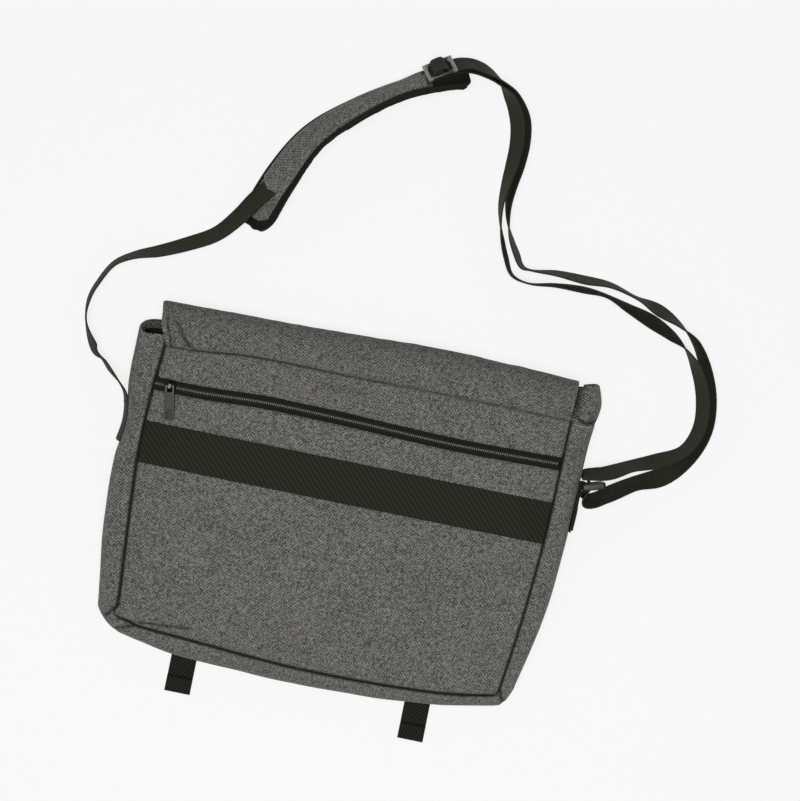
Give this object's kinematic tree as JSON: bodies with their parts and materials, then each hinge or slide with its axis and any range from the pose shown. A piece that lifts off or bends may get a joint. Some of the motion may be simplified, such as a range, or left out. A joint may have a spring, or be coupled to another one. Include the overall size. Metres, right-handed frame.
{
  "type": "laptop messenger bag",
  "caption": "Soft cloth laptop bag lying on its front: zipped back panel, luggage band, folded flap with closure straps, and a webbing shoulder strap with pad, strap slider and ring.",
  "frame": {"origin": "on the front of the flap where the bag rests on the floor, below the middle of the back panel", "axes": "+X to the right of the back panel, +Y up the bag to the fold of the flap, +Z out of the back panel"},
  "size_m": [0.6197, 0.6603, 0.061],
  "materials": {
    "heather_cloth": "grey heather plain weave polyester, matt",
    "black_webbing": "woven black webbing, slightly shiny",
    "pad_cloth": "black padded cloth, matt",
    "zip_tape": "woven black zip tape",
    "zip_coil": "black nylon coil",
    "zip_metal": "gunmetal plated die casting",
    "strap_plastic": "dark grey moulded acetal"
  },
  "bodies": {
    "bag": {"back_panel_lower": "heather_cloth", "back_panel_upper": "heather_cloth", "side_gusset_left": "heather_cloth", "side_gusset_right": "heather_cloth", "bottom_gusset": "heather_cloth", "front_panel": "heather_cloth", "flap": "heather_cloth", "pad_sleeve": "heather_cloth", "luggage_band": "black_webbing", "closure_strap_left": "black_webbing", "closure_strap_right": "black_webbing", "strap_left": "black_webbing", "strap_outer": "black_webbing", "strap_inner": "black_webbing", "ring_tab": "black_webbing", "shoulder_pad": "pad_cloth", "zip_tape_lower": "zip_tape", "zip_tape_upper": "zip_tape", "zip_coil": "zip_coil", "zip_slider": "zip_metal", "closure_clasp_left": "strap_plastic", "closure_clasp_right": "strap_plastic", "strap_slider": "strap_plastic", "strap_ring": "strap_plastic"},
    "pull": {"zip_pull": "zip_metal"}
  },
  "joints": [
    {"name": "zip_pull_hinge", "type": "hinge", "parent": "bag", "child": "pull", "pos_m": [-0.179, 0.08112, 0.05737], "axis": [-0.9833, -0.1822, 0], "range_deg": [0, 170]}
  ]
}
